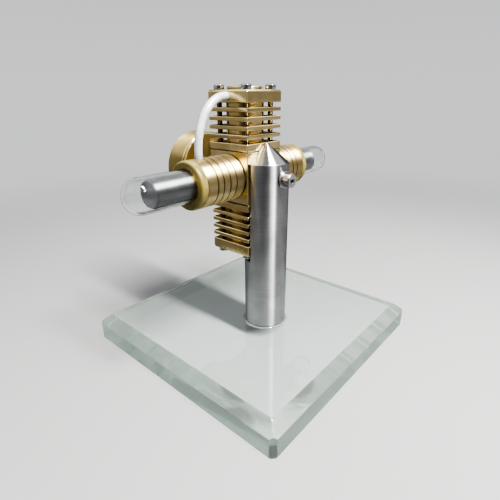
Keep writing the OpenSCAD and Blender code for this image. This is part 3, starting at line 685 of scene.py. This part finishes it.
# ------------------------------------------------------------------ glass caps (mm)
def hot_cap(side, sign):
    """Test tube with a domed end, fire-polished at the mouth."""
    near, far, outer_r = measure(side + "_hot_cap", sign)
    wall = 0.9
    unevenness = 0.01225  # greatest share of the radius that the blown glass falls short
    inner_r = outer_r - wall
    dome_start = far - outer_r
    lip = near + wall / 2
    mouth = arc(lip, outer_r - wall / 2, wall / 2, 90, 270, 12)
    outer = straight(lip, dome_start, outer_r, 24)
    dome = arc(dome_start, 0, outer_r, 90, 0, 40)[1:]
    # the inside of the dome is a little thicker and flatter at the tip, as blown glass is
    angles = [math.radians(90 * i / 40) for i in range(40, -1, -1)]
    inner_dome = [(dome_start + inner_r * 0.965 * math.sin(a), inner_r * math.cos(a))
                  for a in angles]
    inner = straight(dome_start, lip, inner_r, 24)[:-1]

    def uneven(angle, along, radius):
        spot = Vector((along * 0.11, math.cos(angle) * 1.2, math.sin(angle) * 1.2 + sign))
        return along, radius * (1 - unevenness * abs(noise.noise(spot)))

    outside = lathe(mouth[:1] + outer + dome, ENGINE, "X", sign, wobble=uneven)
    inside = lathe(inner_dome + inner + mouth[::-1], ENGINE, "X", sign, wobble=uneven)
    add_object(side + "_hot_cap_glass", join(outside, inside), "cap_glass",
               side + "_hot_cap")


# ------------------------------------------------------------------ displacers (mm)
def displacer(side, sign):
    """Thin drawn can, open at its near end, with a rounded and slightly dished far end."""
    near, far, radius = measure(side + "_displacer", sign)
    wall, rim, shoulder = 0.4, 0.12, 0.7
    floor_at = far - 0.8
    profile = [(near, radius - wall), (near, radius - rim)]
    profile += arc(near + rim, radius - rim, rim, 180, 90, 4)[1:]
    profile += straight(near, far - 0.9, radius, 30)
    profile += arc(far - shoulder, radius - shoulder, shoulder, 90, 0, 10)[1:]
    profile += [(far, radius * 0.8), (far - 0.05, radius * 0.75), (far - 0.12, radius * 0.5),
                (far - 0.15, 0.0)]
    bore = [(floor_at, 0.0), (floor_at, radius - wall)]
    bore += straight(floor_at, near, radius - wall, 20)
    can = join(lathe(profile, ENGINE, "X", sign), lathe(bore, ENGINE, "X", sign))
    add_object(side + "_displacer_can", can, "steel_displacer",
               side + "_displacer", body="displacers")


# ------------------------------------------------------------------ seal rings (mm)
def seal_ring(side, sign):
    """Soft moulded ring, rounded outside, pressed against glass and brass."""
    near, far, outer_r = measure(side + "_seal_ring", sign)
    bore = 6.2
    near_round, far_round, bore_round = 0.45, 0.9, 0.3
    profile = [(near, bore), (near, outer_r - near_round)]
    profile += arc(near + near_round, outer_r - near_round, near_round, 180, 90, 8)[1:]
    profile += straight(near + near_round, far - far_round, outer_r, 4)
    profile += arc(far - far_round, outer_r - far_round, far_round, 90, 0, 14)[1:]
    profile += [(far, bore + 0.5)]
    profile += arc(far - bore_round, bore + bore_round, bore_round, 0, -90, 5)[1:]

    def uneven(angle, along, radius):
        # the faces that touch glass and brass stay true
        if along < near + 0.05 or radius < bore + 0.05:
            return along, radius
        spot = Vector((math.cos(angle) * 1.4, math.sin(angle) * 1.4, sign * 3.7 + along * 0.2))
        dent = abs(noise.noise(spot))
        return along - 0.10 * dent * (along - near) / (far - near), radius - 0.09 * dent

    bm = lathe(profile, ENGINE, "X", sign, closed=True, wobble=uneven)
    add_object(side + "_seal_ring_soft", bm, "amber_seal", side + "_seal_ring",
               smooth_angle=60)


for side, sign in (("left", -1), ("right", 1)):
    hot_cap(side, sign)
    displacer(side, sign)
    seal_ring(side, sign)


# ------------------------------------------------------------------ glue (mm)
def glue_bead():
    """Glue squeezed out unevenly around the foot of the post."""
    low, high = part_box("glue_bead")
    post_r = POST_RADIUS / MM
    width = ((high.x - low.x) / 2 - POST_RADIUS) / MM
    profile = [(0.0, post_r), (0.0, post_r + width)]
    for degrees in (*range(8, 79, 10), 84):
        a = math.radians(degrees)
        profile.append((width * 0.735 * (1 - math.cos(a)) ** 0.9 + 0.01,
                        post_r + width * (1 - math.sin(a))))
    profile.append((width * 0.74, post_r))

    def uneven(angle, along, radius):
        x, y = math.cos(angle), math.sin(angle)
        swell = noise.noise(Vector((x * 2.3, y * 2.3, 0.7)))
        ripple = noise.noise(Vector((x * 7.0, y * 7.0, 4.2)))
        size = 0.80 + 0.16 * swell + 0.05 * ripple
        return along * size, post_r + max(0.0, radius - post_r) * min(1.0, size + 0.06)

    bm = lathe(profile, Vector((POST.x, POST.y, PLATE_TOP)), "Z", segments=160, closed=True,
               wobble=uneven)
    add_object("glue_bead_soft", bm, "clear_glue", "glue_bead", smooth_angle=70)


glue_bead()


# ------------------------------------------------------------------ transfer tubes
def bezier(p0, p1, p2, p3, steps):
    points = []
    for i in range(steps + 1):
        t = i / steps
        s = 1 - t
        points.append(p0 * s**3 + p1 * (3 * s * s * t) + p2 * (3 * s * t * t) + p3 * t**3)
    return points


def tube_mesh(path, plane_normal, outer_r, inner_r, segments=28):
    """Hollow tube along a path that lies in one plane."""
    bm = bmesh.new()
    rows = []  # for each path point, the outer and the inner ring
    last = len(path) - 1
    for i, point in enumerate(path):
        tangent = (path[min(i + 1, last)] - path[max(i - 1, 0)]).normalized()
        sideways = tangent.cross(plane_normal).normalized()
        angles = [2 * math.pi * k / segments for k in range(segments)]
        rows.append([
            [bm.verts.new(point + (sideways * math.cos(a) + plane_normal * math.sin(a)) * r)
             for a in angles]
            for r in (outer_r, inner_r)])
    for i in range(last):
        for k in range(segments):
            k2 = (k + 1) % segments
            near, far = rows[i][0], rows[i + 1][0]
            bm.faces.new((near[k], near[k2], far[k2], far[k]))
            near, far = rows[i][1], rows[i + 1][1]
            bm.faces.new((near[k2], near[k], far[k], far[k2]))
    for (outer, inner), step in ((rows[0], -1), (rows[-1], 1)):
        for k in range(segments):
            k2 = (k + 1) % segments
            bm.faces.new((outer[k], outer[k2], inner[k2], inner[k])[::step])
    return bm


def transfer_tube(side, sign_x, sign_z):
    """Silicone tube bent from the head port to the displacer cylinder."""
    low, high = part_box(side + "_transfer_tube")
    outer_r = (high.y - low.y) / 2
    reach_x = abs((low if sign_x < 0 else high).x - ENGINE.x)
    reach_z = abs((high if sign_z > 0 else low).z - ENGINE.z)
    port_x, port_z = reach_x - outer_r, reach_z - outer_r
    face = 10 * MM  # side face of the power cylinder
    foot = 9 * MM  # radius of the displacer cylinder

    def at(x, z):
        return Vector((ENGINE.x + sign_x * x, ENGINE.y, ENGINE.z + sign_z * z))

    path = [at(face, port_z), at(face + 0.4 * MM, port_z)]
    path += bezier(at(face + 0.8 * MM, port_z), at(face + 9.0 * MM, port_z),
                   at(port_x, foot + 12.5 * MM), at(port_x, foot + 0.9 * MM), 44)
    path += [at(port_x, foot + 0.3 * MM), at(port_x, foot - 0.15 * MM)]
    bm = tube_mesh(path, Vector(AXES["Y"]), outer_r, 1.0 * MM)
    # the foot follows the round cylinder it sits on
    for v in bm.verts:
        if (v.co.z - ENGINE.z) * sign_z < foot + 0.1 * MM:
            rise = math.sqrt(max(0.0, foot**2 - (v.co.y - ENGINE.y) ** 2))
            v.co.z = ENGINE.z + sign_z * rise
    add_object(side + "_transfer_tube_soft", bm, "silicone_tube",
               side + "_transfer_tube", smooth_angle=50)


transfer_tube("upper", -1, 1)
transfer_tube("lower", 1, -1)

# ------------------------------------------------------------------ stage
LIT_SIDE = (0.662, -0.750, 0.0)  # direction of the brighter side of the studio


def sees_room(tree):
    """1 for a ray that left polished metal, whether the metal is bare or inside a glass cap."""
    path = tree.light_path()
    least_glossy, least_transmitted = 0.5, 2.5
    not_through = tree.math("SUBTRACT", 1.0, path["Is Transmission Ray"])
    bare = tree.times(path["Is Glossy Ray"], by=not_through)
    reflected = tree.math("GREATER_THAN", path["Glossy Depth"], least_glossy)
    through = tree.math("GREATER_THAN", path["Transmission Depth"], least_transmitted)
    return tree.math("MAXIMUM", bare, tree.times(reflected, by=through))


def room(tree, direction):
    """Brightness of the studio as polished metal sees it: a lit side, a dim side, darker low
    down."""
    toward = tree.vector("DOT_PRODUCT", direction, LIT_SIDE)
    height = tree.height_of(direction)

    def by_height(across, to):
        return tree.ramp(height, across=across, to=to, smooth=True)

    lit = tree.times(tree.ramp(toward, across=(0.25, 0.95), smooth=True), by=0.44)
    fade = tree.times(by_height(across=(-0.13, 0.02), to=(1.0, 0.42)),
                      by=by_height(across=(-0.5, -0.2), to=(0.6, 1.0)))
    lit = tree.times(lit, by=fade)
    away = tree.times(toward, by=-1.0)
    dim = tree.times(tree.ramp(away, across=(0.2, 0.9), smooth=True), by=0.28)
    dim = tree.times(dim, by=by_height(across=(-0.31, -0.16), to=(0.30, 1.0)))
    base = by_height(across=(-0.44, 0.02), to=(0.035, 0.075))
    return tree.plus(base, tree.plus(lit, dim))


def floor_material(name):
    """Grey paper that fades out with distance."""
    tree = new_material(name)
    place = tree.coords()
    grain = tree.noise(place, scale=900.0, rough=0.6)
    cloud = tree.noise(place, scale=4.0)
    dark, light = (0.225, 0.225, 0.228), (0.25, 0.25, 0.25)
    paper = tree.principled(
        Base_Color=tree.mix(cloud, dark, light), Roughness=0.85, Specular_IOR_Level=0.25,
        Normal=tree.bump(grain, strength=0.05, distance=0.0002))
    # painted reflection: what polished metal picks up from the table is the paper glowing with the
    # studio brightness, kept darker on one side, so that round parts read as round
    incoming = tree.node("ShaderNodeNewGeometry").outputs["Incoming"]
    glow = tree.first("ShaderNodeEmission", {
        "Color": (1, 0.99, 0.97), "Strength": room(tree, tree.scaled(incoming, by=-1.0))})
    seen = tree.mix_shader(tree.times(sees_room(tree), by=0.9), paper, glow)
    distance = tree.vector("LENGTH", place)
    fade = tree.ramp(distance, across=(0.15, 0.50), smooth=True)
    tree.finish(tree.mix_shader(fade, seen, tree.first("ShaderNodeBsdfTransparent")))


def add_floor():
    bm = bmesh.new()
    bmesh.ops.create_circle(bm, cap_ends=True, radius=2.0, segments=96)
    mesh = bpy.data.meshes.new("floor")
    bm.to_mesh(mesh)
    bm.free()
    floor_material("floor_paper")
    mesh.materials.append(MATERIALS["floor_paper"])
    floor = bpy.data.objects.new("floor", mesh)
    floor.location = (0, 0, -0.00015)
    bpy.context.scene.collection.objects.link(floor)


add_floor()


# ------------------------------------------------------------------ light
def area(name, place, size, size_y, power, colour, reflected=True):
    """Rectangular lamp aimed at the engine. reflected=False hides it from metal and glass."""
    data = bpy.data.lights.new(name, "AREA")
    data.shape = "RECTANGLE"
    data.size = size
    data.size_y = size_y
    data.energy = power
    data.color = colour
    obj = bpy.data.objects.new(name, data)
    obj.location = place
    obj.rotation_euler = (ENGINE - place).to_track_quat("-Z", "Y").to_euler()
    bpy.context.scene.collection.objects.link(obj)
    if not reflected:
        obj.visible_glossy = False
        obj.visible_transmission = False


KEY_DIRECTION = Vector((0.01, -0.56, 0.83)).normalized()
KEY_DISTANCE = 0.42
area("key", ENGINE + KEY_DIRECTION * KEY_DISTANCE, size=0.036, size_y=0.24, power=9.5,
     colour=(1.0, 0.985, 0.955))
area("fill", Vector((-0.55, 0.15, 0.45)), size=0.5, size_y=0.5, power=2.2,
     colour=(0.93, 0.96, 1.0), reflected=False)
area("back", Vector((0.30, 0.55, 0.30)), size=0.25, size_y=0.25, power=1.6,
     colour=(0.96, 0.98, 1.0), reflected=False)


def studio_world():
    """Pale backdrop, softer light on the surfaces, and the studio room for polished metal."""
    world = bpy.data.worlds.new("studio")
    bpy.context.scene.world = world
    sky = NodeTree(world, output="ShaderNodeOutputWorld")
    generated = sky.node("ShaderNodeTexCoord").outputs["Generated"]
    direction = sky.vector("NORMALIZE", generated)
    height = sky.height_of(direction)
    pale = sky.ramp(height, across=(0.0, 0.8), to=(0.62, 0.30), smooth=True)
    soft = sky.ramp(height, across=(-0.1, 0.9), to=(0.26, 0.48), smooth=True)
    # a wide soft box overhead, only for what polished metal reflects
    overhead = sky.times(sky.ramp(height, across=(0.42, 0.62), smooth=True),
                         by=sky.ramp(height, across=(0.80, 0.97), to=(1.0, 0.35), smooth=True))
    shine = sky.plus_part(room(sky, direction), overhead, amount=1.1)
    path = sky.light_path()
    direct = sky.math("MAXIMUM", path["Is Camera Ray"], path["Is Transmission Ray"])
    level = sky.mix(direct, soft, pale, kind="FLOAT")
    level = sky.mix(sees_room(sky), level, shine, kind="FLOAT")
    sky.finish(sky.first("ShaderNodeBackground", {
        "Color": (0.985, 0.99, 1.0), "Strength": level}))


studio_world()

# ------------------------------------------------------------------ camera
CAMERA_PLACE = Vector((-0.1207, -0.1035, 0.1066))
AZIMUTH, ELEVATION, ROLL = math.radians(-48.55), math.radians(22.08), math.radians(-0.41)


def add_camera():
    backward = Vector((math.sin(AZIMUTH) * math.cos(ELEVATION),
                       -math.cos(AZIMUTH) * math.cos(ELEVATION), math.sin(ELEVATION)))
    level_right = Vector((math.cos(AZIMUTH), math.sin(AZIMUTH), 0))
    level_up = level_right.cross(-backward)
    right = level_right * math.cos(ROLL) + level_up * math.sin(ROLL)
    up = -level_right * math.sin(ROLL) + level_up * math.cos(ROLL)
    data = bpy.data.cameras.new("camera")
    data.sensor_width = 36.0
    data.lens = 27.5256
    data.clip_start = 0.005
    data.clip_end = 20
    camera = bpy.data.objects.new("camera", data)
    turn = Matrix((right, up, backward)).transposed().to_4x4()
    camera.matrix_world = Matrix.Translation(CAMERA_PLACE) @ turn
    bpy.context.scene.collection.objects.link(camera)
    bpy.context.scene.camera = camera


add_camera()

# ------------------------------------------------------------------ render settings
view = bpy.context.scene.view_settings
view.view_transform = "AgX"
view.look = "AgX - High Contrast"
view.exposure = 0.0
cycles = bpy.context.scene.cycles
cycles.use_denoising = True
cycles.max_bounces = 32
cycles.diffuse_bounces = 4
cycles.glossy_bounces = 24
cycles.transmission_bounces = 24
cycles.transparent_max_bounces = 16
cycles.caustics_reflective = False
cycles.caustics_refractive = False
cycles.sample_clamp_indirect = 6.0
cycles.blur_glossy = 0.3
